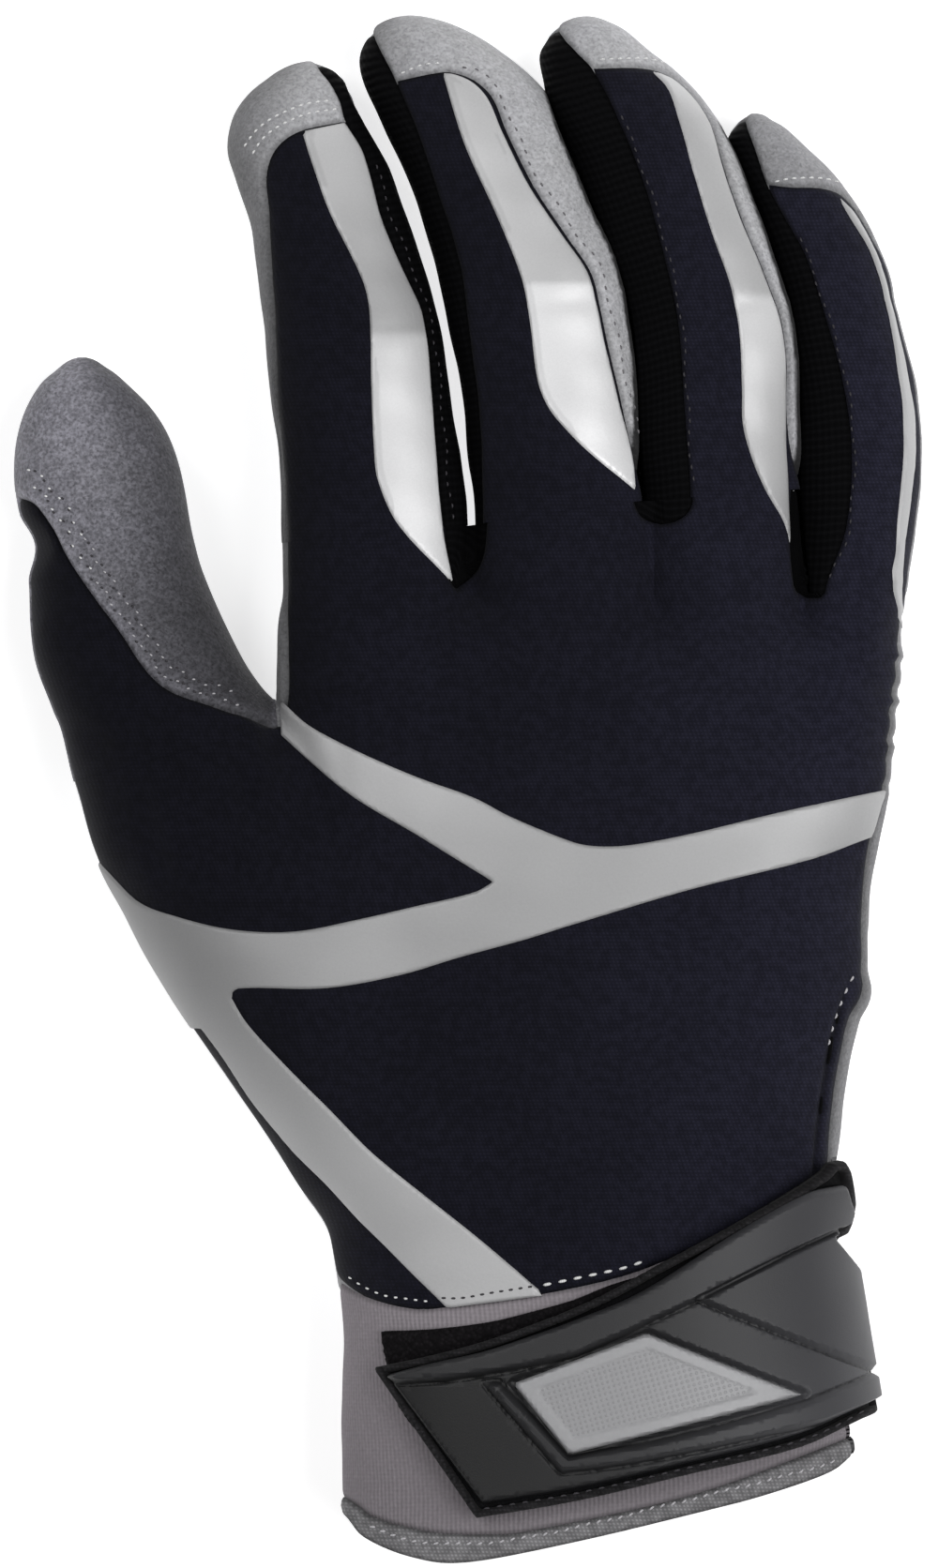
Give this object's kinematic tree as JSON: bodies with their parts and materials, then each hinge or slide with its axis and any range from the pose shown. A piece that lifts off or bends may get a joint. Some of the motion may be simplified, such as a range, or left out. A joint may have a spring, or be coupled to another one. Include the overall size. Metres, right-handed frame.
{
  "type": "batting glove",
  "caption": "Right-hand batting glove lying palm down: hollow leather and stretch-cloth hand, hinged fingers and thumb, knit cuff and moulded wrist strap that opens.",
  "frame": {"origin": "middle of the underside of the glove's box, on the surface that it lies on", "axes": "+Y towards the fingertips, +Z out of the back of the hand, +X towards the little finger"},
  "size_m": [0.1408, 0.2396, 0.0438],
  "materials": {
    "leather": "matte, fine grain, light grey",
    "thumb_leather": "matte, fine grain, dark grey",
    "cloth": "smooth stretch cloth, black",
    "mesh": "ribbed mesh, black",
    "film": "satin silver film",
    "knit": "fine rib knit, grey",
    "binding": "folded tape, grey",
    "pad": "hook and loop pile, black",
    "strap_cloth": "woven cloth, black",
    "strap_cover": "moulded, matte, dark grey",
    "inset": "fine dots, grey"
  },
  "bodies": {
    "hand": {"palm_leather": "leather", "heel_patch": "leather", "back_panel": "cloth", "hand_film": "film", "index_film_root": "film", "ring_film_root": "film", "little_film_root": "film", "vent_binding": "cloth", "cuff": "knit", "cuff_binding": "binding", "loop_pad": "pad"},
    "index": {"index_leather": "leather", "index_back": "cloth", "index_gusset": "mesh", "index_film": "film"},
    "middle": {"middle_leather": "leather", "middle_back": "cloth", "middle_gusset": "mesh", "middle_film": "film"},
    "ring": {"ring_leather": "leather", "ring_back": "cloth", "ring_gusset": "mesh", "ring_film": "film"},
    "little": {"little_leather": "leather", "little_back": "cloth", "little_gusset": "mesh", "little_film": "film"},
    "thumb": {"thumb_leather": "thumb_leather", "thumb_back": "cloth"},
    "strap": {"strap_base": "strap_cloth", "strap_edging": "strap_cloth", "strap_cover": "strap_cover", "strap_inset": "inset", "hook_pad": "pad"}
  },
  "joints": [
    {"name": "index_flex", "type": "hinge", "parent": "hand", "child": "index", "pos_m": [-0.01529, 0.03941, 0.00768], "axis": [-0.9958, -0.0918, 0], "range_deg": [0, 75]},
    {"name": "middle_flex", "type": "hinge", "parent": "hand", "child": "middle", "pos_m": [0.01536, 0.04298, 0.00768], "axis": [-0.99, -0.1407, 0], "range_deg": [0, 75]},
    {"name": "ring_flex", "type": "hinge", "parent": "hand", "child": "ring", "pos_m": [0.04114, 0.0448, 0.0073], "axis": [-0.9874, -0.158, 0], "range_deg": [0, 75]},
    {"name": "little_flex", "type": "hinge", "parent": "hand", "child": "little", "pos_m": [0.06087, 0.03045, 0.0073], "axis": [-0.9997, -0.0256, 0], "range_deg": [0, 75]},
    {"name": "thumb_flex", "type": "hinge", "parent": "hand", "child": "thumb", "pos_m": [-0.04536, 0.00533, 0.00076], "axis": [-0.9664, -0.2571, 0], "range_deg": [0, 50]},
    {"name": "strap_open", "type": "hinge", "parent": "hand", "child": "strap", "pos_m": [0.06255, -0.0778, 0.017], "axis": [-0.1113, 0.9938, 0], "range_deg": [0, 150]}
  ]
}
